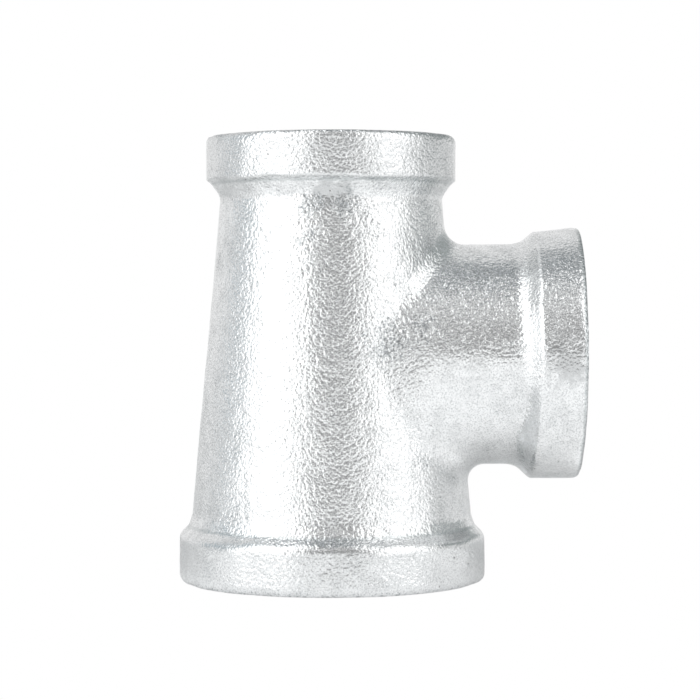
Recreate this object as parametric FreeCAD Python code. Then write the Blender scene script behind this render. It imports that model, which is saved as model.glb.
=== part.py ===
"""Galvanised malleable-iron reducing tee, 1 1/4 x 1 x 1 inch, with a band round each threaded end.

Frame: millimetres, +Z up.  The origin is the centre of the large end's face, +Z runs along the run's axis to
the small end, and +X runs along the branch's axis to the branch's mouth.

The tee is one iron casting.  It was dipped in zinc as cast, and its ends were then faced, chamfered and tapped,
which cut the zinc away there.  The zinc that is left is in two places: all round the outside, and on the wall
of the chamber between the three threads.
"""

import FreeCAD
import Part
import math
import os

# ---- driving dimensions ------------------------------------------------------------------------------------
RUN_LENGTH = 78.6  # large end's face to small end's face
BRANCH_HEIGHT = 40.0  # large end's face to the branch's axis
BRANCH_REACH = 43.7  # run's axis to the branch's face

LARGE_BAND_RADIUS = 27.35  # 1 1/4 inch band
LARGE_BAND_WIDTH = 8.4
SMALL_BAND_RADIUS = 22.3  # 1 inch bands, on the run's small end and on the branch
SMALL_BAND_WIDTH = 7.7
BRANCH_BAND_WIDTH = 8.0

RUN_FOOT_RADIUS = 25.05  # the run's cone, where it leaves the large band's shoulder
RUN_NECK_RADIUS = 19.8  # the run's cone, where it meets the small band's shoulder
BRANCH_NECK_RADIUS = 19.75
SHOULDER = 2.6  # length of the slope between a band and its neck

RIM_ROUND = 1.5  # cast corner at each mouth, partly faced off
LARGE_BAND_ROUND = 2.4  # cast corner at the large band's inner edge
SMALL_BAND_ROUND = 0.8  # the same on the two small bands
NECK_ROUND = 2.0  # hollow where a shoulder meets its neck
CROTCH_ROUND = 3.2  # hollow where the branch leaves the run
FACING_CUT = 0.4  # length of casting that facing took off each end

# American taper pipe thread, drawn as a plain wall at the mean pitch radius
LARGE_THREAD_RADIUS = 19.84  # 1 1/4 - 11.5 NPT
LARGE_THREAD_DEPTH = 17.0
SMALL_THREAD_RADIUS = 15.50  # 1 - 11.5 NPT
SMALL_THREAD_DEPTH = 14.7
THREAD_ROOT = 0.6  # how far a thread's roots reach past that plain wall at its inner end
MOUTH_FLARE = 1.6  # 45 degree chamfer at each mouth, out past the thread's root

LARGE_WALL = 3.7  # iron between the chamber and the outside, at the run's foot
SMALL_WALL = 3.4  # the same at the run's neck and along the branch
CORE_ROUND = 1.5  # hollow-side corner where the branch's passage meets the run's

ZINC = 0.09  # thickness of the hot-dip coat

PAST = 3.0  # how far a cutting body runs past the surface that it cuts

UP = FreeCAD.Vector(0, 0, 1)
OUT = FreeCAD.Vector(1, 0, 0)


# ---- outlines ----------------------------------------------------------------------------------------------
def offset_corners(corners, inset):
    """Moves an outline's straight stretches inwards, towards the axis, by inset.

    corners is a list of (radius, height, round), from the foot up.  The outline closes along the axis, and its
    first and last stretches are the flat ends, which move inwards too.  A round on an outer corner shrinks by
    inset and one in a hollow grows by it.
    """
    if not inset:
        return corners
    points = [(0.0, corners[0][1])] + [(r, z) for r, z, _ in corners] + [(0.0, corners[-1][1])]
    lines = []
    for (r0, z0), (r1, z1) in zip(points, points[1:]):
        length = math.hypot(r1 - r0, z1 - z0)
        inward = (-(z1 - z0) / length, (r1 - r0) / length)
        lines.append((r0 + inset * inward[0], z0 + inset * inward[1], r1 - r0, z1 - z0))
    moved = []
    for (r0, z0, dr0, dz0), (r1, z1, dr1, dz1), (_, _, round_radius) in zip(lines, lines[1:], corners):
        turn = dr0 * dz1 - dz0 * dr1
        along = ((r1 - r0) * dz1 - (z1 - z0) * dr1) / turn
        new_round = round_radius - inset if turn > 0 else round_radius + inset
        moved.append((r0 + along * dr0, z0 + along * dz0, new_round if round_radius else 0.0))
    return moved


def turned(corners):
    """The solid of revolution about Z of an outline of (radius, height, round) corners."""
    points = [FreeCAD.Vector(r, 0, z) for r, z, _ in corners]
    foot, head = FreeCAD.Vector(0, 0, corners[0][1]), FreeCAD.Vector(0, 0, corners[-1][1])
    edges, last = [], foot
    for before, corner, after, (_, _, radius) in zip([foot] + points, points, points[1:] + [head], corners):
        if radius:
            back, ahead = (before - corner).normalize(), (after - corner).normalize()
            half_angle = back.getAngle(ahead) / 2
            start = corner + back * (radius / math.tan(half_angle))
            end = corner + ahead * (radius / math.tan(half_angle))
            bisector = (back + ahead).normalize()
            middle = corner + bisector * (radius / math.sin(half_angle) - radius)
            edges.append(Part.LineSegment(last, start).toShape())
            edges.append(Part.Arc(start, middle, end).toShape())
            last = end
        else:
            edges.append(Part.LineSegment(last, corner).toShape())
            last = corner
    edges.append(Part.LineSegment(last, head).toShape())
    edges.append(Part.LineSegment(head, foot).toShape())
    return Part.Face(Part.Wire(edges)).revolve(FreeCAD.Vector(0, 0, 0), UP, 360)


def along_branch(shape):
    """Turns a shape made about Z from the origin up, so that it lies along the branch's axis."""
    laid = shape.copy()
    laid.rotate(FreeCAD.Vector(0, 0, 0), FreeCAD.Vector(0, 1, 0), 90)
    laid.translate(FreeCAD.Vector(0, 0, BRANCH_HEIGHT))
    return laid


def from_small_end(shape):
    """Turns a shape made from the large end's face up, so that it enters from the small end's face."""
    turned_over = shape.copy()
    turned_over.rotate(FreeCAD.Vector(0, 0, 0), OUT, 180)
    turned_over.translate(FreeCAD.Vector(0, 0, RUN_LENGTH))
    return turned_over


def joined(run, branch, radius):
    """The run and the branch as one solid, with a hollow of that radius where they meet."""
    whole = run.fuse(branch).removeSplitter()
    meeting = [e for e in whole.Edges if e.Curve.TypeId == "Part::GeomBSplineCurve"]
    return whole.makeFillet(radius, meeting)


# ---- the casting's outside ---------------------------------------------------------------------------------
def as_cast(inset):
    """The tee's outside before facing, with its surface moved inwards by inset."""
    run = offset_corners(
        [
            (LARGE_BAND_RADIUS, -FACING_CUT, RIM_ROUND),
            (LARGE_BAND_RADIUS, LARGE_BAND_WIDTH, LARGE_BAND_ROUND),
            (RUN_FOOT_RADIUS, LARGE_BAND_WIDTH + SHOULDER, NECK_ROUND),
            (RUN_NECK_RADIUS, RUN_LENGTH - SMALL_BAND_WIDTH - SHOULDER, NECK_ROUND),
            (SMALL_BAND_RADIUS, RUN_LENGTH - SMALL_BAND_WIDTH, SMALL_BAND_ROUND),
            (SMALL_BAND_RADIUS, RUN_LENGTH + FACING_CUT, RIM_ROUND),
        ],
        inset,
    )
    branch = offset_corners(
        [
            (BRANCH_NECK_RADIUS, 0.0, 0.0),
            (BRANCH_NECK_RADIUS, BRANCH_REACH - BRANCH_BAND_WIDTH - SHOULDER, NECK_ROUND),
            (SMALL_BAND_RADIUS, BRANCH_REACH - BRANCH_BAND_WIDTH, SMALL_BAND_ROUND),
            (SMALL_BAND_RADIUS, BRANCH_REACH + FACING_CUT, RIM_ROUND),
        ],
        inset,
    )
    return joined(turned(run), along_branch(turned(branch)), CROTCH_ROUND + inset)


def faced_envelope():
    """A box whose three outer sides are the planes that the mouths are faced to."""
    clear = LARGE_BAND_RADIUS + PAST
    return Part.makeBox(clear + BRANCH_REACH, 2 * clear, RUN_LENGTH, FreeCAD.Vector(-clear, -clear, 0))


# ---- the hollow inside -------------------------------------------------------------------------------------
def wall_at(height):
    """The run's outer radius at a height on its cone."""
    foot_z = LARGE_BAND_WIDTH + SHOULDER
    neck_z = RUN_LENGTH - SMALL_BAND_WIDTH - SHOULDER
    share = (height - foot_z) / (neck_z - foot_z)
    return RUN_FOOT_RADIUS + share * (RUN_NECK_RADIUS - RUN_FOOT_RADIUS)


def chamber(inset):
    """The cored hollow between the three threads, with its wall moved inwards by inset.

    Each end closes on its thread's wall with a 45 degree slope.
    """
    low = LARGE_THREAD_DEPTH
    high = RUN_LENGTH - SMALL_THREAD_DEPTH
    far = BRANCH_REACH - SMALL_THREAD_DEPTH
    low_radius = wall_at(low) - LARGE_WALL
    high_radius = wall_at(high) - SMALL_WALL
    branch_radius = BRANCH_NECK_RADIUS - SMALL_WALL
    run = offset_corners(
        [
            (LARGE_THREAD_RADIUS, low, 0.0),
            (low_radius, low + low_radius - LARGE_THREAD_RADIUS, 0.0),
            (high_radius, high - high_radius + SMALL_THREAD_RADIUS, 0.0),
            (SMALL_THREAD_RADIUS, high, 0.0),
        ],
        inset,
    )
    branch = offset_corners(
        [
            (branch_radius, 0.0, 0.0),
            (branch_radius, far - branch_radius + SMALL_THREAD_RADIUS, 0.0),
            (SMALL_THREAD_RADIUS, far, 0.0),
        ],
        inset,
    )
    return joined(turned(run), along_branch(turned(branch)), CORE_ROUND - inset)


def tapped_hole(radius, depth):
    """The wall and the mouth chamfer that the tools cut in from a face at Z = 0."""
    wall = Part.makeCylinder(radius, depth + PAST, FreeCAD.Vector(0, 0, -PAST))
    flare = Part.makeCone(radius + MOUTH_FLARE + PAST, radius, MOUTH_FLARE + PAST, FreeCAD.Vector(0, 0, -PAST))
    return wall.fuse(flare)


def three_tapped_holes(wider=0.0, deeper=0.0):
    """All three tapped holes in place, each cut wider and deeper by so much."""
    small = tapped_hole(SMALL_THREAD_RADIUS + wider, SMALL_THREAD_DEPTH + deeper)
    in_branch = small.copy()
    in_branch.rotate(FreeCAD.Vector(0, 0, 0), OUT, 180)
    in_branch.translate(FreeCAD.Vector(0, 0, BRANCH_REACH))
    return [
        tapped_hole(LARGE_THREAD_RADIUS + wider, LARGE_THREAD_DEPTH + deeper),
        from_small_end(small),
        along_branch(in_branch),
    ]


# ---- the pieces --------------------------------------------------------------------------------------------
def iron_casting():
    solid = as_cast(ZINC).common(faced_envelope()).cut(chamber(0.0))
    for hole in three_tapped_holes():
        solid = solid.cut(hole)
    return solid


def outer_zinc_coat():
    return as_cast(0.0).cut(as_cast(ZINC)).common(faced_envelope())


def chamber_zinc_coat():
    coat = chamber(0.0).cut(chamber(ZINC))
    for hole in three_tapped_holes(wider=THREAD_ROOT, deeper=PAST):
        coat = coat.cut(hole)
    return coat


def main():
    os.makedirs("parts", exist_ok=True)
    pieces = {
        "iron_casting": iron_casting,
        "outer_zinc_coat": outer_zinc_coat,
        "chamber_zinc_coat": chamber_zinc_coat,
    }
    for name, make in pieces.items():
        shape = make()
        print(f"{name}: valid {shape.isValid()}, {len(shape.Solids)} solid(s), {shape.Volume:.1f} mm3")
        Part.makeCompound(shape.Solids).exportStep(f"parts/{name}.step")


main()
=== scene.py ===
"""Looks of a galvanised malleable-iron reducing tee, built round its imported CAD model.

Shapes are worked out in millimetres in the CAD frame (+Z up the run, +X out along the branch, origin at the
centre of the large end's face) and put into Blender in metres.
"""

import math

import bmesh
import bpy
import numpy as np
from mathutils import Matrix, Vector, noise


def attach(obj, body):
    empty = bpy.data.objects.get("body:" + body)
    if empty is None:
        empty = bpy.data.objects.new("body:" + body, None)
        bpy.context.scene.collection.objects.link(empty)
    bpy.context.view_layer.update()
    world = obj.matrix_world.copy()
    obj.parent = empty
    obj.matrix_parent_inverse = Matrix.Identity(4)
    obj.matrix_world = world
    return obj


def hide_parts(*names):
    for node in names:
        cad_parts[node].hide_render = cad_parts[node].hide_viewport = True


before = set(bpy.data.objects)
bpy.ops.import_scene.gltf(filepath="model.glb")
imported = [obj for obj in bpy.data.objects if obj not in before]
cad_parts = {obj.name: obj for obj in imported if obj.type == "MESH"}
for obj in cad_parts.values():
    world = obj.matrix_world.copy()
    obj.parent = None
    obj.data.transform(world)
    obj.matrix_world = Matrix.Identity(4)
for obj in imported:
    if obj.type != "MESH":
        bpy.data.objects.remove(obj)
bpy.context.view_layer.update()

MM = 0.001

# ---- sizes, in millimetres ---------------------------------------------------------------------------------
RUN_LENGTH = 78.6
BRANCH_HEIGHT = 40.0  # from the large end's face to the branch's axis
BRANCH_REACH = 43.7  # from the run's axis to the branch's face
LARGE_BAND_RADIUS = 27.35
LARGE_BAND_WIDTH = 8.4
SMALL_BAND_RADIUS = 22.3
SMALL_BAND_WIDTH = 7.7
BRANCH_BAND_WIDTH = 7.8
RUN_FOOT_RADIUS = 25.05
RUN_NECK_RADIUS = 19.8
BRANCH_NECK_RADIUS = 19.75
SHOULDER = 2.6  # length of the slope from each band to its neck
FACING_CUT = 0.4  # metal turned off each end after its rim was rounded
RIM_ROUND = 1.5
CAST_ON = 9.0  # how far the outlines carry on past each face, to be cut off flat there
BRANCH_START = 4.0  # least x at which the branch's outside counts; its chamber counts from half of this
PLAIN_STOP = 4.0  # how far short of each face the tee without its bands stops

# threads: American taper pipe, 11 1/2 to the inch
PITCH = 25.4 / 11.5
THREAD_TAPER = 1 / 32  # on the radius
THREAD_HEIGHT = 0.8 * PITCH
LARGE_FACE_PITCH_RADIUS = 20.11
SMALL_FACE_PITCH_RADIUS = 15.73
LARGE_THREAD_RADIUS = 19.84
SMALL_THREAD_RADIUS = 15.50
LARGE_THREAD_DEPTH = 17.0
SMALL_THREAD_DEPTH = 14.7
MOUTH_FLARE = 1.6
LARGE_WALL = 3.7  # thickness of the casting at the run's large end
SMALL_WALL = 3.4  # and at the other two
# where the three threads stop and the chamber starts
CHAMBER_FOOT, CHAMBER_TOP = LARGE_THREAD_DEPTH, RUN_LENGTH - SMALL_THREAD_DEPTH
CHAMBER_FAR = BRANCH_REACH - SMALL_THREAD_DEPTH
CHAMBER_BLEND = 0.8  # radius of the edge where the cored passages meet

# points of the meshes
OUTER_STEP = 0.50  # spacing of the points on the outside of the zinc
HIDDEN_STEP = 1.3  # the same on surfaces that are never seen
CHAMBER_STEP = 0.7
COAT_BACK = 0.36  # depth of the outer coat's hidden side under the smooth surface
IRON_BACK = 0.40  # depth of the iron's cast outside
IRON_HOLLOW = 0.12  # how far the iron's hollow lies outside the cored wall
CHAMBER_BACK = 0.08  # the same for the hidden side of the chamber's coat
CHAMBER_FACE = 0.2  # how far the chamber coat's face lies inside the cored wall, on average
CHAMBER_PAST = 2.0  # how far the chamber's shape carries on into the threads
COAT_CLEAR = 1.5  # how far short of each thread the chamber's coat stops


# ---- outlines as radius against distance along an axis -----------------------------------------------------
def rounded_outline(corners):
    """(distances, radii) along a string of (distance, radius, round) corners, with each corner rounded."""
    pts = [np.array(c[:2], float) for c in corners]
    out = [pts[0]]
    for before, corner, after, (_, _, radius) in zip(pts, pts[1:], pts[2:], corners[1:-1]):
        back = (before - corner) / np.linalg.norm(before - corner)
        ahead = (after - corner) / np.linalg.norm(after - corner)
        half = math.acos(np.clip(back @ ahead, -1, 1)) / 2
        reach = radius / math.tan(half)
        middle = (back + ahead) / np.linalg.norm(back + ahead)
        centre = corner + middle * radius / math.sin(half)
        first, last = corner + back * reach - centre, corner + ahead * reach - centre
        for share in np.linspace(0, 1, 13):
            arm = first * (1 - share) + last * share
            out.append(centre + arm * radius / np.linalg.norm(arm))
    out.append(pts[-1])
    out = np.array(out)
    keep = np.r_[True, np.diff(out[:, 0]) > 1e-6]
    return out[keep, 0], out[keep, 1]


def rim_drop(inward):
    """How far the rounded rim has fallen below its band at a distance inward from the faced end."""
    # held just short of the whole round, where its slope would have no end
    from_corner = np.clip(RIM_ROUND - FACING_CUT - inward, 0.0, RIM_ROUND * 0.97)
    return RIM_ROUND - np.sqrt(RIM_ROUND**2 - from_corner**2)


# the run's two bands drop over a short ledge to a crease, and a hollow runs from the crease into the neck
LARGE_CREASE = (9.75, 25.65)
SMALL_CREASE = (70.3, 21.5)
BRANCH_EDGE = 35.6  # where the branch's shoulder meets its band

RUN_LINE = rounded_outline(
    [
        (-CAST_ON, LARGE_BAND_RADIUS, 0),
        (8.1, LARGE_BAND_RADIUS, 2.0),
        (*LARGE_CREASE, 0.7),
        (LARGE_BAND_WIDTH + SHOULDER + 0.6, RUN_FOOT_RADIUS - 0.04, 4.0),
        (RUN_LENGTH - SMALL_BAND_WIDTH - SHOULDER - 0.3, RUN_NECK_RADIUS, 2.5),
        (*SMALL_CREASE, 0.5),
        (RUN_LENGTH - SMALL_BAND_WIDTH, SMALL_BAND_RADIUS, 0.5),
        (RUN_LENGTH + CAST_ON, SMALL_BAND_RADIUS, 0),
    ]
)
BRANCH_LINE = rounded_outline(
    [
        (-60.0, BRANCH_NECK_RADIUS, 0),  # beyond the run's far side
        (BRANCH_REACH - BRANCH_BAND_WIDTH - SHOULDER, BRANCH_NECK_RADIUS, 3.8),
        (BRANCH_REACH - BRANCH_BAND_WIDTH, SMALL_BAND_RADIUS, 1.5),
        (BRANCH_REACH + CAST_ON, SMALL_BAND_RADIUS, 0),
    ]
)


def run_radius(z):
    return np.interp(z, *RUN_LINE) - rim_drop(z) - rim_drop(RUN_LENGTH - z)


def branch_radius(x):
    return np.interp(x, *BRANCH_LINE) - rim_drop(BRANCH_REACH - x)


def wall_at(z):
    """Radius of the run's plain taper, carried on past its ends."""
    foot, neck = LARGE_BAND_WIDTH + SHOULDER, RUN_LENGTH - SMALL_BAND_WIDTH - SHOULDER
    return RUN_FOOT_RADIUS + (z - foot) * (RUN_NECK_RADIUS - RUN_FOOT_RADIUS) / (neck - foot)


def chamber_run_radius(z):
    """Radius of the cored run, which narrows at 45 degrees into the threads."""
    low, high = CHAMBER_FOOT, CHAMBER_TOP
    low_r, high_r = wall_at(low) - LARGE_WALL, wall_at(high) - SMALL_WALL
    line = low_r + (z - low) * (high_r - low_r) / (high - low)
    return np.minimum(line, np.minimum(LARGE_THREAD_RADIUS + z - low, SMALL_THREAD_RADIUS + high - z))


def chamber_branch_radius(x):
    """The same for the cored branch."""
    return np.minimum(BRANCH_NECK_RADIUS - SMALL_WALL, SMALL_THREAD_RADIUS + CHAMBER_FAR - x)


# ---- two turned shapes joined with a hollow ----------------------------------------------------------------
SLOPE_STEP = 0.02  # half the distance over which an outline's slope is measured


def tee_field(x, y, z, run_r, branch_r, blend, near):
    """Signed distance, roughly, from a run and a branch joined by a hollow of radius blend(y, z).

    near is the least x at which the branch counts.
    """
    h = SLOPE_STEP
    r1, r2 = run_r(z), branch_r(x)
    s1, s2 = (run_r(z + h) - run_r(z - h)) / (2 * h), (branch_r(x + h) - branch_r(x - h)) / (2 * h)
    c1, c2 = 1 / np.sqrt(1 + s1 * s1), 1 / np.sqrt(1 + s2 * s2)
    rho1 = np.sqrt(x * x + y * y) + 1e-9
    rho2 = np.sqrt(y * y + (z - BRANCH_HEIGHT) ** 2) + 1e-9
    d1, d2 = (rho1 - r1) * c1, np.maximum((rho2 - r2) * c2, near - x)
    # g is the cosine of the angle between the two walls' normals, and k the radius of the arc that joins them
    g = c1 * c2 * (y * y / (rho1 * rho2) - s2 * x / rho1 - s1 * (z - BRANCH_HEIGHT) / rho2)
    g = np.clip(g, -0.95, 0.95)
    k = blend(y, z)
    u, v = k - d1, k - d2
    arc = k - np.sqrt(np.maximum(u * u + v * v - 2 * g * u * v, 0) / (1 - g * g))
    in_hollow = (u > g * v) & (v > g * u) & (u > 0) & (v > 0)
    return np.where(in_hollow, arc, np.minimum(d1, d2))


# the hollow between run and branch, by the angle round the branch's axis from level, in degrees
TIGHT_HOLLOW, HOLLOW_LEAN = 3.0, 0.6  # radius above and below, and how much it is more above and less below
WIDE_HOLLOW, WIDEST_AT = 14.0, -12  # what is added at the front and the back, and the angle of the most
HOLLOW_SPREAD_UP, HOLLOW_SPREAD_DOWN = 33, 38


def outer_blend(y, z):
    """Radius of the hollow between run and branch: tight above and below, wide at the front and the back."""
    up = (z - BRANCH_HEIGHT) / np.sqrt(y * y + (z - BRANCH_HEIGHT) ** 2 + 1e-9)
    tilt = np.degrees(np.arcsin(np.clip(up, -1, 1)))
    spread = np.where(tilt > WIDEST_AT, HOLLOW_SPREAD_UP, HOLLOW_SPREAD_DOWN)
    return TIGHT_HOLLOW + HOLLOW_LEAN * up + WIDE_HOLLOW * np.exp(-(((tilt - WIDEST_AT) / spread) ** 2))


def turned_field(along, out, radius_at):
    """Signed distance, roughly, from a turned shape, at a distance along its axis and one out from it."""
    h = SLOPE_STEP
    slope = (radius_at(along + h) - radius_at(along - h)) / (2 * h)
    return (out - radius_at(along)) / np.sqrt(1 + slope * slope)


def waver(a, b):
    """Small shifts along an axis, different all round it, that leave a band's edges less than true."""
    turn = np.arctan2(b, a)
    return 0.09 * np.sin(5 * turn + 1.0) + 0.07 * np.sin(11 * turn + 2.3) + 0.05 * np.sin(19 * turn)


EARLY_SHOULDER = 0.9  # how much sooner the branch's shoulder starts at its underside
SUNK_EDGE, PROUD_RIM = 0.36, 0.45  # how far the top of its band is sunk at the shoulder and proud at the rim


def branch_band_lean(x, up):
    """(shift, proud): below, the branch's shoulder starts early; above, its band leans out to the rim."""
    above, below = np.clip(up, 0, 1) ** 2, np.clip(-up, 0, 1) ** 2
    shift = EARLY_SHOULDER * below * np.clip((BRANCH_EDGE + 5.4 - x) / 4.0, 0, 1)
    places = (BRANCH_EDGE - SHOULDER, BRANCH_EDGE + 0.9, BRANCH_REACH)
    return shift, above * np.interp(x, places, (0.0, -SUNK_EDGE, PROUD_RIM))


def neck_radius(x):
    return BRANCH_NECK_RADIUS + 0 * x


def outer_field(x, y, z):
    """Signed distance from the smooth outside: a plain tee with its hollow, and the banded run and branch."""
    plain = tee_field(x, y, z, wall_at, neck_radius, outer_blend, BRANCH_START)
    past_top, past_branch = z - RUN_LENGTH + PLAIN_STOP, x - BRANCH_REACH + PLAIN_STOP
    plain = np.maximum(plain, np.maximum(PLAIN_STOP - z, np.maximum(past_top, past_branch)))
    run = turned_field(z + waver(x, y), np.sqrt(x * x + y * y), run_radius)
    out = np.sqrt(y * y + (z - BRANCH_HEIGHT) ** 2) + 1e-9
    shift, proud = branch_band_lean(x, (z - BRANCH_HEIGHT) / out)
    branch = turned_field(x + shift + waver(y, z - BRANCH_HEIGHT), out, branch_radius) - proud
    branch = np.maximum(branch, BRANCH_START - x)
    return np.minimum(plain, np.minimum(run, branch))


def chamber_blend(y, z):
    return CHAMBER_BLEND + 0 * y + 0 * z


def chamber_field(x, y, z):
    """Signed distance from the cored wall, without ends."""
    return tee_field(x, y, z, chamber_run_radius, chamber_branch_radius, chamber_blend, BRANCH_START / 2)


# ---- a mesh round the zero level of a field ----------------------------------------------------------------
def spaced(low, high, step, spots=(), reach=1.6):
    """Distances from low to high a step apart, and half a step apart within reach of each spot."""
    out = [low - 0.5 * step]
    while out[-1] < high + 0.5 * step:
        near = any(abs(out[-1] - spot) < reach for spot in spots)
        out.append(out[-1] + (0.5 * step if near else step))
    return np.array(out)


NET_ROUNDS = 4  # times that a net's points are put back onto their surface
EVENING = 0.6  # how far each point goes towards the mean of its neighbours between those times


def net(field, low, high, step, level=0.0, spots=((), (), ())):
    """(points, quads) of an even net of quads where field equals level, facing outwards.

    The net has one point in each cell that the surface crosses, and is finer round the spots on each axis.
    """
    axes = [spaced(a, b, step, near) for a, b, near in zip(low, high, spots)]
    x, y, z = axes[0][:, None, None], axes[1][None, :, None], axes[2][None, None, :]
    value = (field(x, y, z) - level).astype(np.float32)
    inside = value < 0
    shape = tuple(n - 1 for n in value.shape)
    count = np.zeros(shape, np.int8)
    for i in (0, 1):
        for j in (0, 1):
            for k in (0, 1):
                count += inside[i : i + shape[0], j : j + shape[1], k : k + shape[2]]
    cells = np.argwhere((count > 0) & (count < 8))
    number = np.full(shape, -1, np.int64)
    number[tuple(cells.T)] = np.arange(len(cells))
    total, hits = np.zeros((len(cells), 3)), np.zeros(len(cells))
    corners = [(i, j, k) for i in (0, 1) for j in (0, 1) for k in (0, 1)]
    for a in corners:
        for axis in range(3):
            if a[axis]:
                continue
            b = tuple(c + (n == axis) for n, c in enumerate(a))
            va = value[tuple((cells + a).T)]
            vb = value[tuple((cells + b).T)]
            cross = (va < 0) != (vb < 0)
            share = np.where(cross, va / np.where(cross, va - vb, 1), 0)
            total[cross] += (np.array(a) + share[:, None] * (np.array(b) - a))[cross]
            hits[cross] += 1
    place = cells + total / hits[:, None]
    points = np.stack([np.interp(place[:, n], np.arange(len(axes[n])), axes[n]) for n in range(3)], 1)
    quads = []
    for axis in range(3):
        b, c = (axis + 1) % 3, (axis + 2) % 3
        cut = [slice(1, -1)] * 3
        cut[axis] = slice(0, -1)
        far = list(cut)
        far[axis] = slice(1, None)
        here, there = inside[tuple(cut)], inside[tuple(far)]
        place = np.argwhere(here != there) + [0 if n == axis else 1 for n in range(3)]
        out = here[here != there]
        eb, ec = np.eye(3, dtype=int)[b], np.eye(3, dtype=int)[c]
        ring = [number[tuple((place - s * eb - t * ec).T)] for s, t in ((1, 1), (0, 1), (0, 0), (1, 0))]
        ring = np.stack(ring, 1)
        quads.append(np.where(out[:, None], ring, ring[:, ::-1]))
    quads = np.concatenate(quads)
    quads = quads[(quads >= 0).all(1)]
    edges = np.concatenate([quads[:, [0, 1]], quads[:, [1, 2]], quads[:, [2, 3]], quads[:, [3, 0]]])
    for turn in range(NET_ROUNDS):
        if turn:
            mean, ways = np.zeros_like(points), np.zeros(len(points))
            for a, b in ((0, 1), (1, 0)):
                np.add.at(mean, edges[:, a], points[edges[:, b]])
                np.add.at(ways, edges[:, a], 1)
            points = (1 - EVENING) * points + EVENING * mean / np.maximum(ways, 1)[:, None]
        for _ in range(2):
            d, n = slope_of(field, points)
            points = points - np.clip(d - level, -step, step)[:, None] * n
    return points, quads


FIELD_STEP = 0.01  # distance over which a field's slope is measured


def slope_of(field, points):
    """(value, unit normal) of a field at points."""
    h = FIELD_STEP
    x, y, z = points.T
    d = field(x, y, z)
    n = np.stack([field(x + h, y, z) - d, field(x, y + h, z) - d, field(x, y, z + h) - d], 1)
    return d, n / np.maximum(np.linalg.norm(n, axis=1, keepdims=True), 1e-12)


# ---- surface irregularity ----------------------------------------------------------------------------------
def smooth_noise(points, size, seed):
    """Perlin noise, from about -1 to 1, with lumps of that size in millimetres."""
    shift = Vector((17.1 * seed, -9.7 * seed, 5.3 * seed))
    return np.array([noise.noise(Vector(p) / size + shift) for p in points.tolist()])


SKIN_DEPTH, DEEPEST_SKIN = 0.14, 0.33  # of the zinc's surface under its smooth form: the mean and the most
SKIN_LUMPS = ((17.0, 0.09), (5.2, 0.05), (1.9, 0.034), (1.05, 0.020))  # size and height of each kind


def cast_skin(points):
    """How far the zinc's uneven surface lies from its smooth form: 0, or less than 0 where it is under it."""
    height = -SKIN_DEPTH
    for seed, (size, share) in enumerate(SKIN_LUMPS, 1):
        height = height + share * smooth_noise(points, size, seed)
    return np.clip(height, -DEEPEST_SKIN, 0.0)


# ---- meshes ------------------------------------------------------------------------------------------------
def mesh_of(name, points, faces):
    mesh = bpy.data.meshes.new(name)
    mesh.from_pydata(np.asarray(points).tolist(), [], np.asarray(faces).tolist())
    mesh.validate()
    return mesh


def drop_loose(bm):
    """Deletes the points that no face uses."""
    bmesh.ops.delete(bm, geom=[v for v in bm.verts if not v.link_faces], context="VERTS")


def cut_flat(bm, point, normal):
    """Cuts away what lies beyond a plane."""
    geom = bm.verts[:] + bm.edges[:] + bm.faces[:]
    bmesh.ops.bisect_plane(
        bm, geom=geom, dist=1e-5, plane_co=point, plane_no=normal, clear_outer=True, clear_inner=False
    )


# a point on each end's face and the direction out of it: the large end, the small end and the branch
ENDS = [
    (Vector((0, 0, 0)), Vector((0, 0, -1))),
    (Vector((0, 0, RUN_LENGTH)), Vector((0, 0, 1))),
    (Vector((BRANCH_REACH, 0, BRANCH_HEIGHT)), Vector((1, 0, 0))),
]
OUTER_SIDE, OUTER_PAST = 28.5, 0.9  # half the width of the space searched for the outside, and its margin
OUTER_LOW = (-OUTER_SIDE, -OUTER_SIDE, -OUTER_PAST)
OUTER_HIGH = (BRANCH_REACH + OUTER_PAST, OUTER_SIDE, RUN_LENGTH + OUTER_PAST)


def open_surface(points, quads, flip=False):
    """A net cut off at the three faces and left open there."""
    bm = bmesh.new()
    bm.from_mesh(mesh_of("part", points, quads[:, ::-1] if flip else quads))
    for point, normal in ENDS:
        cut_flat(bm, point, normal)
    drop_loose(bm)
    return bm


def rim_edges(bm, point, normal):
    """The open edges that lie in a plane."""
    open_edges = [e for e in bm.edges if e.is_boundary]
    return [e for e in open_edges if all(abs((v.co - point).dot(normal)) < 1e-3 for v in e.verts)]


def outer_zinc_mesh():
    """The coat as a closed shell: a fine uneven outside, a coarse hidden back and three narrow cut rims."""
    creases = ((BRANCH_EDGE,), (), (LARGE_CREASE[0], SMALL_CREASE[0]))
    points, quads = net(outer_field, OUTER_LOW, OUTER_HIGH, OUTER_STEP, spots=creases)
    _, normals = slope_of(outer_field, points)
    bm = open_surface(points + cast_skin(points)[:, None] * normals, quads)
    back_points, back_quads = net(outer_field, OUTER_LOW, OUTER_HIGH, HIDDEN_STEP, -COAT_BACK)
    back = open_surface(back_points, back_quads, flip=True)
    spare = bpy.data.meshes.new("spare")
    back.to_mesh(spare)
    bm.from_mesh(spare)
    for point, normal in ENDS:
        bmesh.ops.triangle_fill(bm, use_beauty=True, use_dissolve=False, edges=rim_edges(bm, point, normal))
    bmesh.ops.recalc_face_normals(bm, faces=bm.faces)
    mesh = bpy.data.meshes.new("tee_outer_zinc")
    bm.to_mesh(mesh)
    return mesh


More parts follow.
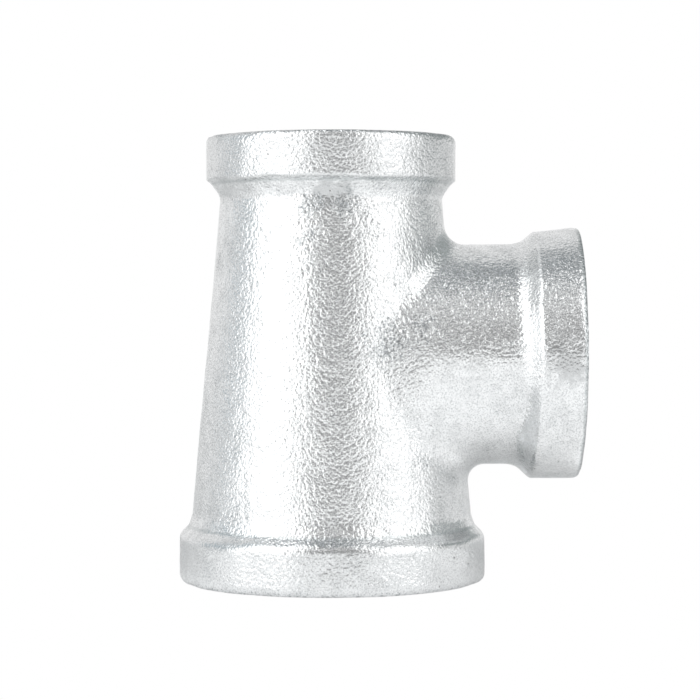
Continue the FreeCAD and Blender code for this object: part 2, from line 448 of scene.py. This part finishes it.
def closed_surface(field, low, high, step, level, cut):
    """The solid inside a level of a field, cut flat at the three ends if cut."""
    points, quads = net(field, low, high, step, level)
    if not cut:
        return mesh_of("solid", points, quads)
    bm = open_surface(points, quads)
    for point, normal in ENDS:
        bmesh.ops.edgeloop_fill(bm, edges=rim_edges(bm, point, normal))
    bmesh.ops.recalc_face_normals(bm, faces=bm.faces)
    mesh = bpy.data.meshes.new("solid")
    bm.to_mesh(mesh)
    return mesh


def into_end(mesh, end):
    """Places a mesh made with its mouth at Z = 0 and its depth along +Z into one of the three ends."""
    point, normal = ENDS[end]
    turn = Vector((0, 0, 1)).rotation_difference(-normal).to_matrix().to_4x4()
    mesh.transform(Matrix.Translation(point) @ turn)
    return mesh


CORE_SIDES = 120
CORE_BEFORE, CORE_BEYOND = 2.5, 1.8  # how far a thread's core runs out of the mouth and into the chamber


def thread_core(face_pitch_radius, depth):
    """The space inside a right-hand taper thread: 60 degree form, cut off flat at crest and root."""
    tall = PITCH * math.sqrt(3) / 4  # of the sharp 60 degree form, from the pitch line
    around = CORE_SIDES
    # shares of a pitch at which each turn has a row of points: the ends of both flats and the flanks' middles
    steps = np.array([0.019, 0.25, 0.481, 0.519, 0.75, 0.981])
    low, high = -CORE_BEFORE, depth + CORE_BEYOND
    turns = np.arange(math.floor(low / PITCH) - 2, math.ceil(high / PITCH) + 2)
    rows = (turns[:, None] + steps[None, :]).ravel()
    angle = np.arange(around) * 2 * math.pi / around
    z = np.clip((rows[:, None] + angle[None, :] / (2 * math.pi)) * PITCH, low, high)
    phase = (z / PITCH - angle[None, :] / (2 * math.pi)) % 1.0
    wave = np.clip(tall * (4 * np.abs(phase - 0.5) - 1), -THREAD_HEIGHT / 2, THREAD_HEIGHT / 2)
    radius = face_pitch_radius - z * THREAD_TAPER + wave
    points = np.stack([radius * np.cos(angle), radius * np.sin(angle), z], -1).reshape(-1, 3)
    faces = []
    for i in range(len(rows) - 1):
        for j in range(around):
            nxt = j + 1
            if nxt < around:
                a, b, c, d = i * around + j, i * around + nxt, (i + 1) * around + nxt, (i + 1) * around + j
            else:
                # after a whole turn the helix is one pitch further on, so a row joins the one a pitch on
                if i + 1 + len(steps) >= len(rows):
                    continue
                a, b = i * around + j, (i + len(steps)) * around
                c, d = (i + 1 + len(steps)) * around, (i + 1) * around + j
            faces.append((a, b, c, d))
    bm = bmesh.new()
    bm.from_mesh(mesh_of("core", points, faces))
    bmesh.ops.remove_doubles(bm, verts=bm.verts, dist=1e-4)
    drop_loose(bm)
    for end in (low, high):
        bmesh.ops.edgeloop_fill(bm, edges=rim_edges(bm, Vector((0, 0, end)), Vector((0, 0, 1))))
    bmesh.ops.recalc_face_normals(bm, faces=bm.faces)
    mesh = bpy.data.meshes.new("core")
    bm.to_mesh(mesh)
    return mesh


FLARE_SIDES = 168
FLARE_BEFORE, FLARE_DEPTH = 2.0, 4.0  # how far the chamfer's cone runs out of the mouth and into it


def flare_cone(face_radius):
    """The mouth's 45 degree chamfer, as a cone that runs out past the face."""
    around = FLARE_SIDES
    # turned a little, so that its corners don't fall on those of the thread
    angle = (np.arange(around) + 0.37) * 2 * math.pi / around
    ring = np.stack([np.cos(angle), np.sin(angle)], 1)
    low = np.c_[ring * (face_radius + FLARE_BEFORE), np.full(around, -FLARE_BEFORE)]
    high = np.c_[ring * (face_radius - FLARE_DEPTH), np.full(around, FLARE_DEPTH)]
    nxt = np.roll(np.arange(around), -1)
    side = [(i, j, j + around, i + around) for i, j in zip(range(around), nxt.tolist())]
    mesh = bpy.data.meshes.new("flare")
    mesh.from_pydata(
        np.concatenate([low, high]).tolist(),
        [],
        side + [tuple(range(around))[::-1], tuple(range(around, 2 * around))],
    )
    return mesh


def minus(mesh, cutters, name):
    """The mesh with each cutter taken away in turn."""
    body = bpy.data.objects.new(name, mesh)
    bpy.context.scene.collection.objects.link(body)
    tools = []
    for cutter in cutters:
        tool = bpy.data.objects.new("tool", cutter)
        bpy.context.scene.collection.objects.link(tool)
        cut = body.modifiers.new("cut", "BOOLEAN")
        cut.operation, cut.solver, cut.object = "DIFFERENCE", "EXACT", tool
        tools.append(tool)
    graph = bpy.context.evaluated_depsgraph_get()
    result = bpy.data.meshes.new_from_object(body.evaluated_get(graph))
    for ob in tools + [body]:
        bpy.data.objects.remove(ob)
    result.name = name
    return result


# pitch radius at the face and depth of each end's thread, and the radius of its plain wall in the CAD
THREADS = [
    (LARGE_FACE_PITCH_RADIUS, LARGE_THREAD_DEPTH),
    (SMALL_FACE_PITCH_RADIUS, SMALL_THREAD_DEPTH),
    (SMALL_FACE_PITCH_RADIUS, SMALL_THREAD_DEPTH),
]
MEAN_RADII = [LARGE_THREAD_RADIUS, SMALL_THREAD_RADIUS, SMALL_THREAD_RADIUS]


def mouth_cutters():
    """The thread and the chamfer of each end."""
    out = []
    for end, ((pitch_radius, depth), mean) in enumerate(zip(THREADS, MEAN_RADII)):
        out.append(into_end(thread_core(pitch_radius, depth), end))
        out.append(into_end(flare_cone(mean + MOUTH_FLARE), end))
    return out


CHAMBER_SIDE, CHAMBER_MARGIN = 24.0, 4.0  # the same for the chamber
CHAMBER_LOW = (-CHAMBER_SIDE, -CHAMBER_SIDE, CHAMBER_FOOT - CHAMBER_MARGIN)
CHAMBER_HIGH = (CHAMBER_FAR + CHAMBER_MARGIN, CHAMBER_SIDE, CHAMBER_TOP + CHAMBER_MARGIN)


def capped_chamber(x, y, z):
    """Signed distance from the cored wall, closed a little way into each thread."""
    d = chamber_field(x, y, z)
    past_top, past_far = z - CHAMBER_TOP - CHAMBER_PAST, x - CHAMBER_FAR - CHAMBER_PAST
    return np.maximum(d, np.maximum(CHAMBER_FOOT - CHAMBER_PAST - z, np.maximum(past_top, past_far)))


def iron_mesh():
    """The casting: cut flat at its ends, cored, threaded and chamfered."""
    body = closed_surface(outer_field, OUTER_LOW, OUTER_HIGH, HIDDEN_STEP, -IRON_BACK, True)
    hollow = closed_surface(capped_chamber, CHAMBER_LOW, CHAMBER_HIGH, HIDDEN_STEP, IRON_HOLLOW, False)
    return minus(body, [hollow] + mouth_cutters(), "tee_iron")


def chamber_zinc_mesh():
    """The coat on the cored wall, with an uneven face, cut back from the threads."""
    body = closed_surface(capped_chamber, CHAMBER_LOW, CHAMBER_HIGH, HIDDEN_STEP, CHAMBER_BACK, False)
    points, quads = net(capped_chamber, CHAMBER_LOW, CHAMBER_HIGH, CHAMBER_STEP, -CHAMBER_FACE)
    _, normals = slope_of(capped_chamber, points)
    rough = 0.10 * smooth_noise(points, 6.0, 5) + 0.07 * smooth_noise(points, 2.2, 6)
    hollow = mesh_of("hollow", points + rough[:, None] * normals, quads)
    cutters = [into_end(thread_core(r, depth + COAT_CLEAR), end) for end, (r, depth) in enumerate(THREADS)]
    return minus(body, [hollow] + cutters, "tee_chamber_zinc")


def finished(mesh, name, sharp_above=None):
    """The mesh as a piece in metres, smooth shaded except across edges sharper than that angle."""
    mesh.transform(Matrix.Scale(MM, 4))
    mesh.name = name
    for polygon in mesh.polygons:
        polygon.use_smooth = True
    if sharp_above:
        mesh.set_sharp_from_angle(angle=math.radians(sharp_above))
    piece = bpy.data.objects.new(name, mesh)
    bpy.context.scene.collection.objects.link(piece)
    return piece


# ---- materials ---------------------------------------------------------------------------------------------
class Graph:
    """A node tree being written: node() adds one, sets its sockets and returns it."""

    def __init__(self, tree):
        self.tree = tree
        tree.nodes.clear()

    def node(self, kind, inputs=None, **settings):
        n = self.tree.nodes.new(kind)
        for key, value in settings.items():
            setattr(n, key, value)
        for key, value in (inputs or {}).items():
            self.put(n, key, value)
        return n

    def put(self, n, key, value):
        if isinstance(value, bpy.types.NodeSocket):
            self.tree.links.new(value, n.inputs[key])
        else:
            n.inputs[key].default_value = value

    def math(self, operation, *values):
        return self.node("ShaderNodeMath", dict(enumerate(values)), operation=operation).outputs[0]

    def ramp(self, value, low, high, to_low=0.0, to_high=1.0, smooth=True):
        """value carried from low..high to to_low..to_high, and held there outside."""
        return self.node(
            "ShaderNodeMapRange",
            {"Value": value, "From Min": low, "From Max": high, "To Min": to_low, "To Max": to_high},
            interpolation_type="SMOOTHSTEP" if smooth else "LINEAR",
        ).outputs[0]

    def most(self, a, b):
        return self.math("MAXIMUM", a, b)

    def times(self, a, b):
        return self.math("MULTIPLY", a, b)

    def times_add(self, a, b, c):
        return self.math("MULTIPLY_ADD", a, b, c)

    def out_from_axis(self, a, b):
        """Distance from an axis, from the two lengths across it."""
        return self.math("SQRT", self.math("ADD", self.times(a, a), self.times(b, b)))

    def noise(self, at, scale, detail=2.0, rough=0.5):
        return self.node(
            "ShaderNodeTexNoise", {"Vector": at, "Scale": scale, "Detail": detail, "Roughness": rough}
        ).outputs["Fac"]

    def gap_to(self, at, centre):
        """Distance in metres from a place given in millimetres."""
        there = tuple(c * MM for c in centre)
        return self.node("ShaderNodeVectorMath", {0: at, 1: there}, operation="DISTANCE").outputs["Value"]

    def mix(self, share, a, b):
        """Colour a, or b where share is 1."""
        return self.node(
            "ShaderNodeMix", {0: share, 6: a, 7: b}, data_type="RGBA", blend_type="MIX", clamp_factor=True
        ).outputs[2]

    def metal(self, colour, rough, height, bump_strength, bump_distance):
        """Bare metal with that colour, roughness and relief, as the material's surface."""
        bump = self.node(
            "ShaderNodeBump", {"Height": height, "Strength": bump_strength, "Distance": bump_distance}
        ).outputs[0]
        shader = self.node(
            "ShaderNodeBsdfPrincipled",
            {"Base Color": colour, "Metallic": 1.0, "Roughness": rough, "Normal": bump},
        )
        self.node("ShaderNodeOutputMaterial", {"Surface": shader.outputs[0]})


def new_material(name):
    material = bpy.data.materials.new(name)
    material.use_nodes = True
    return material, Graph(material.node_tree)


def opaque(colour, level=1.0):
    return (*(level * c for c in colour), 1)


# places where the zinc froze rough, as (x, y, z) and size in millimetres
ROUGH_PLACES = [
    ((10.0, -20.5, 42.5), 7.5),
    ((15.5, -19.5, 45.0), 4.5),
    ((32.5, -18.8, 42.5), 3.0),
    ((-3.5, -20.0, 66.0), 3.6),
    ((2.5, -20.0, 66.5), 4.4),
    ((-4.0, -20.5, 60.5), 3.2),
]

# places given a flat darker grey, as painted shade
SHADED_PLACES = [((0.3, -20.2, 68.2), 4.6), ((40.2, -21.5, 39.0), 4.4)]

# greys of the zinc
CLEAN_ZINC, DULL_ZINC = (0.84, 0.85, 0.855), (0.53, 0.541, 0.546)
# the flat grey of the painted shade in those places
PLACE_SHADE = (0.50, 0.51, 0.515)
# painted shade for the creases and the branch's rim
CREASE_SHADE = (0.46, 0.49, 0.495)
DARK_FLAKE = (0.31, 0.33, 0.34)
PIT_BOTTOM = (0.22, 0.22, 0.22)
ZINC_RELIEF = 0.000145  # depth of the relief, in metres
ZINC_ROUGHNESS = (0.24, 0.16)  # of the dull patches and the bright ones

# Inside the materials, lengths are in metres and the scale of a noise is its lumps to the metre.


def zinc_relief(g, at):
    """The pebbled skin: round cells of about half a millimetre, bent a little, with noise over them."""
    wander = g.node("ShaderNodeTexNoise", {"Vector": at, "Scale": 1300.0, "Detail": 1.0}).outputs["Color"]
    bend = (0.0004, 0.0004, 0.0004)
    bent = g.node("ShaderNodeVectorMath", {0: wander, 1: bend, 2: at}, operation="MULTIPLY_ADD").outputs[0]
    pebbles = g.node(
        "ShaderNodeTexVoronoi", {"Vector": bent, "Scale": 1850.0, "Smoothness": 0.5}, feature="SMOOTH_F1"
    ).outputs["Distance"]
    relief = g.times(g.noise(at, 1700.0, 3.0, 0.62), 0.65)
    relief = g.times_add(g.times(pebbles, pebbles), -0.60, relief)
    return g.times_add(g.noise(at, 3300.0, 1.0, 0.5), 0.26, relief)


def zinc_pits(g, at, pitted):
    """1 in the small round pits: cells of 1.3 mm, of which that share has a pit."""
    cells = g.node("ShaderNodeTexVoronoi", {"Vector": at, "Scale": 760.0, "Randomness": 1.0}, feature="F1")
    chosen = g.node("ShaderNodeSeparateColor", {0: cells.outputs["Color"]}).outputs[0]
    size = g.ramp(chosen, 1.0 - pitted, 1.0, 0.0, 0.16, smooth=False)
    return g.ramp(g.math("SUBTRACT", size, cells.outputs["Distance"]), -0.02, 0.05)


def placed(g, at, frayed, fray, places, full_to, most):
    """most in each listed place, falling to 0 at its frayed edge from full_to of the way out."""
    total = 0.0
    for centre, reach in places:
        gap = g.times_add(frayed, fray, g.gap_to(at, centre))
        total = g.most(total, g.ramp(gap, full_to * reach * MM, reach * MM, most, 0.0))
    return total


def zinc_wear(g, at, x, z, patches, frayed):
    """How rough the zinc froze: in loose patches, in the places listed and along the three rims."""
    worn = g.times(g.ramp(g.noise(at, 95.0, 2.0, 0.5), 0.58, 0.72), 0.35)
    worn = g.math("ADD", worn, g.ramp(patches, 0.40, 0.62, 0.12, -0.15))
    worn = g.most(worn, placed(g, at, frayed, 0.008, ROUGH_PLACES, 0.1, 0.9))
    for value, far in ((z, RUN_LENGTH * MM), (x, BRANCH_REACH * MM)):
        worn = g.most(worn, g.ramp(value, far - 0.0009, far - 0.0002, 0.0, 0.8))
    return g.most(worn, g.ramp(z, 0.0002, 0.0012, 0.7, 0.0))


def zinc_calm(g, x, z, patches):
    """1 where the zinc ran smooth, under the middle of the branch, and 0.7 on the large band."""
    level = g.times_add(g.math("SUBTRACT", patches, 0.5), 0.007, z)
    level = g.math("ADD", level, g.ramp(x, 0.0345, 0.0365, 0.0, 0.0018))
    under_branch = g.times(g.ramp(level, 0.0386, 0.0404, 1.0, 0.0), g.ramp(x, 0.011, 0.022))
    return g.most(under_branch, g.ramp(z, 0.0080, 0.0100, 0.7, 0.0))


def crease_shade_mask(g, x, z, patches):
    """1 in the lines given painted shade: the run's two creases and the branch's rim."""
    crease = 0.0
    for value, place in ((z, LARGE_CREASE[0]), (z, SMALL_CREASE[0]), (x, BRANCH_REACH - 0.35)):
        gap = g.math("ABSOLUTE", g.math("SUBTRACT", value, place * MM))
        gap = g.times_add(patches, 0.0008, gap)
        crease = g.most(crease, g.ramp(gap, 0.0004, 0.0009, 1.0, 0.0))
    return crease


def zinc(name, bright, pitted):
    """Hot-dip zinc on a rough casting: a pebbled silver skin with dull and bright patches and small pits,
    with painted shade in its creases, along the branch's rim and in a few listed places.

    bright scales the silver's greys, and pitted is the share of its cells that have a pit.
    """
    material, g = new_material(name)
    at = g.node("ShaderNodeTexCoord").outputs["Object"]
    x, _, z = g.node("ShaderNodeSeparateXYZ", {0: at}).outputs
    patches = g.noise(at, 260.0, 4.0, 0.65)
    frayed = g.math("SUBTRACT", g.noise(at, 420.0, 3.0, 0.6), 0.5)
    flakes, specks = g.noise(at, 2100.0, 3.0, 0.65), g.noise(at, 3900.0, 2.0, 0.6)
    pit = zinc_pits(g, at, pitted)
    worn = zinc_wear(g, at, x, z, patches, frayed)
    calm = zinc_calm(g, x, z, patches)

    # dark flakes and specks, most of them where the zinc is worn, and flecks where it is calm
    dark = g.ramp(g.times_add(worn, 0.19, flakes), 0.66, 0.74)
    dark = g.most(dark, g.ramp(g.times_add(worn, 0.12, specks), 0.62, 0.74))
    flecks = g.ramp(g.noise(at, 1300.0, 4.0, 0.75), 0.60, 0.68, 0.0, 0.6)
    dark = g.most(dark, g.times(flecks, calm))

    # share of clean silver against dull, which is less on the run's two bands
    fine = g.times(g.ramp(specks, 0.40, 0.53), 0.75)
    share = g.times_add(g.ramp(patches, 0.34, 0.56), 0.25, fine)
    bands = g.most(g.ramp(z, 0.0080, 0.0095, 1.0, 0.0), g.ramp(z, 0.0702, 0.0712))
    share = g.times(share, g.times_add(bands, -0.22, 1.0))

    colour = g.mix(share, opaque(DULL_ZINC, bright), opaque(CLEAN_ZINC, bright))
    # painted shade: a flat darker grey in the listed places
    colour = g.mix(placed(g, at, frayed, 0.010, SHADED_PLACES, 0.4, 0.8), colour, opaque(PLACE_SHADE))
    # painted shade along the run's two creases and the branch's rim
    colour = g.mix(g.times(crease_shade_mask(g, x, z, patches), 0.6), colour, opaque(CREASE_SHADE))
    colour = g.mix(g.times(dark, 0.85), colour, opaque(DARK_FLAKE))
    colour = g.mix(g.times(pit, 0.8), colour, opaque(PIT_BOTTOM))
    rough = g.times_add(pit, 0.35, g.ramp(patches, 0.35, 0.65, *ZINC_ROUGHNESS))

    # the relief is stronger where worn and weaker where calm
    height = g.times(zinc_relief(g, at), g.times_add(worn, 0.9, 1.0))
    height = g.times_add(pit, -0.3, height)
    height = g.times(height, g.times_add(calm, -0.55, 1.0))
    g.metal(colour, rough, height, 1.0, ZINC_RELIEF)
    return material


# greys of the bare iron
CLEAN_IRON, STAINED_IRON = (0.48, 0.475, 0.465), (0.36, 0.355, 0.345)
# painted shade for the thread roots, where the crests would shadow them
THREAD_ROOT_SHADE = (0.10, 0.095, 0.09)
IRON_RELIEF = 0.00003  # height of the tool's rings, in metres


def root_shade_share(g, across, other, depth, face_pitch_radius):
    """1 in the roots of a taper thread and 0 on its crests and away from it."""
    pitch_line = g.times_add(depth, -THREAD_TAPER, face_pitch_radius * MM)
    over = g.math("SUBTRACT", g.out_from_axis(across, other), pitch_line)
    near = g.times(g.ramp(depth, 0.0012, 0.0020), g.ramp(over, 0.0012, 0.0014, 1.0, 0.0))
    return g.times(g.ramp(over, 0.0001, 0.0008), near)


def turned_rings(g, across, other, depth):
    """The fine uneven rings that facing leaves on one end, and 0 away from that end."""
    out = g.out_from_axis(across, other)
    lines = g.node("ShaderNodeTexNoise", {"W": out, "Scale": 3500.0, "Detail": 2.0}, noise_dimensions="1D")
    return g.times(lines.outputs[0], g.ramp(depth, 0.0003, 0.0006, 1.0, 0.0))


def machined_iron():
    """Bare iron as a cutting tool leaves it: fine turned rings, with painted shade in the thread roots."""
    material, g = new_material("machined_iron")
    at = g.node("ShaderNodeTexCoord").outputs["Object"]
    x, y, z = g.node("ShaderNodeSeparateXYZ", {0: at}).outputs
    rise = g.math("SUBTRACT", z, BRANCH_HEIGHT * MM)
    top = g.math("SUBTRACT", RUN_LENGTH * MM, z)
    far = g.math("SUBTRACT", BRANCH_REACH * MM, x)
    roots, rings = 0.0, 0.0
    for across, other, depth, (pitch_radius, _) in zip((x, x, y), (y, y, rise), (z, top, far), THREADS):
        roots = g.most(roots, root_shade_share(g, across, other, depth, pitch_radius))
        rings = g.most(rings, turned_rings(g, across, other, depth))
    stain = g.noise(at, 130.0, 3.0, 0.6)
    colour = g.mix(g.ramp(stain, 0.35, 0.65), opaque(STAINED_IRON), opaque(CLEAN_IRON))
    # painted shade in the thread roots
    colour = g.mix(g.times(roots, 0.75), colour, opaque(THREAD_ROOT_SHADE))
    rough = g.times_add(roots, 0.2, g.ramp(stain, 0.3, 0.7, 0.30, 0.45))
    height = g.times_add(g.noise(at, 3000.0, 3.0, 0.6), 0.5, rings)
    g.metal(colour, rough, height, 0.6, IRON_RELIEF)
    return material


# ---- the pieces --------------------------------------------------------------------------------------------
def place(piece, node, slot, material):
    """Gives a piece its material and its place in the part."""
    piece.data.materials.clear()
    piece.data.materials.append(material)
    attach(piece, "root")
    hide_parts(node)


outer = finished(outer_zinc_mesh(), "tee_outer_zinc")
place(outer, "outer_zinc_coat", "outer_zinc", zinc("outer_zinc", bright=1.0, pitted=0.10))
casting = finished(iron_mesh(), "tee_iron", sharp_above=28)
place(casting, "iron_casting", "machined_iron", machined_iron())
chamber = finished(chamber_zinc_mesh(), "tee_chamber_zinc", sharp_above=40)
place(chamber, "chamber_zinc_coat", "chamber_zinc", zinc("chamber_zinc", bright=0.85, pitted=0.2))


# ---- floor, light and camera -------------------------------------------------------------------------------
WHITE, COOL, GREEN, BLUE = (1.0, 1.0, 1.0), (0.93, 1.0, 1.04), (0.93, 1.0, 1.0), (0.90, 1.0, 1.06)
FLOOR_HALF = 1.5  # metres
FLOOR_GREY = (0.82, 0.82, 0.82)
POOL_OF_LIGHT_CENTRE = (58.0, -4.0, 0.0)  # middle of the painted pool of light that the branch's shoulder reflects, in millimetres


def add_floor():
    """A pale floor with painted light: it glows a little towards the front and in a pool under the branch;
    the camera itself sees it white.
    """
    corners = [(i * FLOOR_HALF, j * FLOOR_HALF, 0) for i, j in ((-1, -1), (1, -1), (1, 1), (-1, 1))]
    mesh = bpy.data.meshes.new("floor")
    mesh.from_pydata(corners, [], [(0, 1, 2, 3)])
    floor = bpy.data.objects.new("floor", mesh)
    bpy.context.scene.collection.objects.link(floor)
    material, g = new_material("floor")
    seen = g.node("ShaderNodeLightPath").outputs["Is Camera Ray"]
    white = g.node("ShaderNodeEmission", {"Color": opaque(WHITE), "Strength": 1.0})
    at = g.node("ShaderNodeTexCoord").outputs["Object"]
    y = g.node("ShaderNodeSeparateXYZ", {0: at}).outputs[1]
    # painted light: the floor glows a little towards the front and in a pool under the branch
    front = g.ramp(y, -0.04, 0.035, 0.40, 0.0)
    spot = g.ramp(g.gap_to(at, POOL_OF_LIGHT_CENTRE), 0.010, 0.024, 0.45, 0.0)
    glow = g.node("ShaderNodeEmission", {"Color": opaque(WHITE), "Strength": g.most(front, spot)})
    matte = g.node("ShaderNodeBsdfDiffuse", {"Color": opaque(FLOOR_GREY)})
    lit = g.node("ShaderNodeAddShader", {0: matte.outputs[0], 1: glow.outputs[0]})
    both = g.node("ShaderNodeMixShader", {0: seen, 1: lit.outputs[0], 2: white.outputs[0]})
    g.node("ShaderNodeOutputMaterial", {"Surface": both.outputs[0]})
    mesh.materials.append(material)


def panel(g, azimuth, height, turn, half_turn, rise, half_rise, soft):
    """1 inside a soft-edged panel of the surroundings and 0 outside.

    Angles are in degrees. A turn of 0 is the camera's side, and one of 90 is +X.
    """
    off = g.math("ABSOLUTE", g.math("WRAP", g.math("SUBTRACT", azimuth, turn), 180.0, -180.0))
    across = g.ramp(off, half_turn - soft, half_turn + soft, 1.0, 0.0)
    lift = g.math("ABSOLUTE", g.math("SUBTRACT", height, rise))
    up = g.ramp(lift, half_rise - soft, half_rise + soft, 1.0, 0.0)
    return g.times(across, up)


# Each panel of the studio: turn, half its width, height of its middle, half its height and how soft its edges
# are, all in degrees, then how bright it is and its tint. Later ones lie over earlier ones.
PANELS = [
    (180.0, 75.0, 20.0, 75.0, 12.0, 0.92, WHITE),  # pale wall behind
    (-158.0, 50.0, 6.0, 18.0, 4.0, 0.98, WHITE),  # the wall's foot, in full light
    (123.0, 35.0, 54.5, 46.5, 5.0, 0.44, GREEN),  # dim corner, right and back
    (-97.0, 14.0, 52.0, 48.0, 5.0, 0.60, BLUE),  # gap beside the left softbox
    (0.0, 36.0, 30.0, 60.0, 8.0, 0.41, WHITE),  # camera's side of the room
    (0.0, 180.0, 90.0, 22.0, 6.0, 0.34, COOL),  # dark ceiling
    (0.0, 50.0, -6.0, 11.0, 2.0, 0.86, WHITE),  # front edge of the table
    (-54.0, 27.0, 35.0, 38.0, 4.0, 2.15, WHITE),  # left softbox
    (56.5, 22.0, 37.0, 36.0, 4.0, 1.85, WHITE),  # right softbox
    (0.0, 14.0, 42.0, 7.0, 3.0, 1.3, WHITE),  # small light over the camera
]


ROOM_LEVEL = 0.80  # brightness of the surroundings between the panels


def light_room():
    """The surroundings that the tee reflects; the camera itself sees white."""
    world = bpy.data.worlds.new("studio")
    world.use_nodes = True
    bpy.context.scene.world = world
    g = Graph(world.node_tree)
    way = g.node("ShaderNodeSeparateXYZ", {0: g.node("ShaderNodeTexCoord").outputs["Generated"]})
    x, y, z = way.outputs
    azimuth = g.times(g.math("ARCTAN2", x, g.times(y, -1.0)), 180 / math.pi)
    height = g.times(g.math("ARCSINE", z), 180 / math.pi)
    total = opaque(WHITE, ROOM_LEVEL)
    for *shape, level, tint in PANELS:
        total = g.mix(panel(g, azimuth, height, *shape), total, opaque(tint, level))
    camera_ray = g.node("ShaderNodeLightPath").outputs["Is Camera Ray"]
    colour = g.mix(camera_ray, total, opaque(WHITE))
    back = g.node("ShaderNodeBackground", {"Color": colour, "Strength": 1.0})
    g.node("ShaderNodeOutputWorld", {"Surface": back.outputs[0]})


LENS, SENSOR = 115.85, 36.0
CAMERA_PLACE = (0.00348, -0.40239, 0.05126)  # metres
CAMERA_AHEAD = (-0.00046, 0.99966, -0.02599)
CAMERA_RIGHT = (1.0, 0.0, -0.00225)


def add_camera():
    """The camera as it stood for the photograph: in front, just above the middle and tipped slightly down."""
    data = bpy.data.cameras.new("camera")
    data.lens, data.sensor_width = LENS, SENSOR
    data.clip_start, data.clip_end = 0.01, 20.0
    camera = bpy.data.objects.new("camera", data)
    bpy.context.scene.collection.objects.link(camera)
    right = Vector(CAMERA_RIGHT).normalized()
    ahead = Vector(CAMERA_AHEAD).normalized()
    up = right.cross(ahead).normalized()
    right = ahead.cross(up)
    turn = Matrix((right, up, -ahead)).transposed()
    camera.matrix_world = Matrix.Translation(CAMERA_PLACE) @ turn.to_4x4()
    bpy.context.scene.camera = camera


add_floor()
light_room()
add_camera()
bpy.context.scene.view_settings.view_transform = "Standard"
